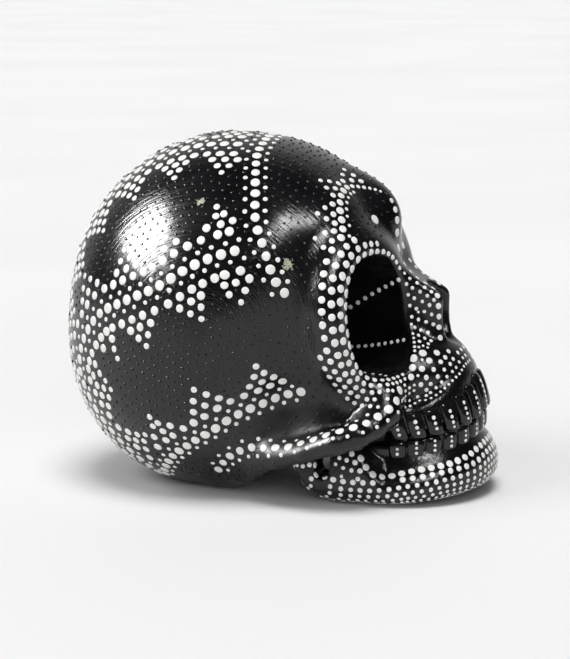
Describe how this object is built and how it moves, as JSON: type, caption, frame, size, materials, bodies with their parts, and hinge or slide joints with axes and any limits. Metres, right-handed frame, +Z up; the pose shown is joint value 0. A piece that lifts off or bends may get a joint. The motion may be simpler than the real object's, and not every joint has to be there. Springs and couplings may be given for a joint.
{
  "type": "decorated skull ornament",
  "caption": "Small human skull ornament with lower jaw and teeth, gloss black, covered in raised white dots.",
  "frame": {"origin": "middle of the footprint, on the surface that the skull rests on", "axes": "+Z up, the face looks along -Y, +X is the skull's own left side"},
  "size_m": [0.098, 0.1426, 0.1136],
  "materials": {
    "black_lacquer": "gloss black paint, brushed, over fired clay",
    "tooth_lacquer": "gloss black paint over fired clay",
    "white_dot_paint": "thick white acrylic dots, satin"
  },
  "bodies": {
    "root": {"cranium": "black_lacquer", "mandible": "black_lacquer", "upper_right_second_molar": "tooth_lacquer", "upper_right_first_molar": "tooth_lacquer", "upper_right_second_premolar": "tooth_lacquer", "upper_right_first_premolar": "tooth_lacquer", "upper_right_canine": "tooth_lacquer", "upper_right_lateral_incisor": "tooth_lacquer", "upper_right_central_incisor": "tooth_lacquer", "upper_left_second_molar": "tooth_lacquer", "upper_left_first_molar": "tooth_lacquer", "upper_left_second_premolar": "tooth_lacquer", "upper_left_first_premolar": "tooth_lacquer", "upper_left_canine": "tooth_lacquer", "upper_left_lateral_incisor": "tooth_lacquer", "upper_left_central_incisor": "tooth_lacquer", "lower_right_second_molar": "tooth_lacquer", "lower_right_first_molar": "tooth_lacquer", "lower_right_second_premolar": "tooth_lacquer", "lower_right_first_premolar": "tooth_lacquer", "lower_right_canine": "tooth_lacquer", "lower_right_lateral_incisor": "tooth_lacquer", "lower_right_central_incisor": "tooth_lacquer", "lower_left_second_molar": "tooth_lacquer", "lower_left_first_molar": "tooth_lacquer", "lower_left_second_premolar": "tooth_lacquer", "lower_left_first_premolar": "tooth_lacquer", "lower_left_canine": "tooth_lacquer", "lower_left_lateral_incisor": "tooth_lacquer", "lower_left_central_incisor": "tooth_lacquer"}
  },
  "joints": []
}
